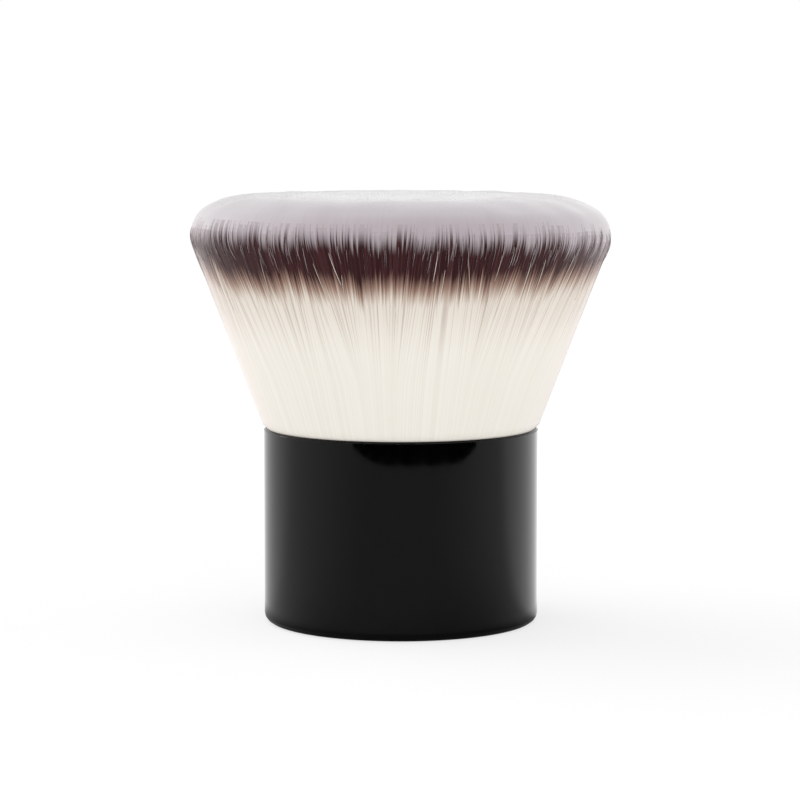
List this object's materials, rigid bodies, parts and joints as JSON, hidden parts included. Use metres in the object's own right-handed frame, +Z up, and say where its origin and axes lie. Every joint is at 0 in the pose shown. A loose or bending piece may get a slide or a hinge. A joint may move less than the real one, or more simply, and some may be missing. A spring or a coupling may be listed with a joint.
{
  "type": "kabuki makeup brush",
  "caption": "Short flat-top kabuki brush: a dense flared bristle head, cream at the root, brown below pale tips, on a plain black cylinder handle. Buffs on powder.",
  "frame": {"origin": "middle of the flat base that the handle stands on", "axes": "+Z up along the brush's axis, from the base to the bristle tips; X and Y are free, as the brush is round"},
  "size_m": [0.055, 0.055, 0.0562],
  "materials": {
    "handle_lacquer": "gloss",
    "liner_plastic": "satin",
    "weight_steel": "satin",
    "adhesive": "satin",
    "ferrule_metal": "satin",
    "root_resin": "gloss",
    "binding_thread": "matte",
    "bristle": "satin"
  },
  "bodies": {
    "root": {"handle_shell": "handle_lacquer", "inner_liner": "liner_plastic", "weight_adhesive": "adhesive", "base_weight": "weight_steel", "knot_adhesive": "adhesive", "knot_ferrule": "ferrule_metal", "root_resin": "root_resin", "binding_thread": "binding_thread", "bristle_bundle": "bristle"}
  },
  "joints": []
}
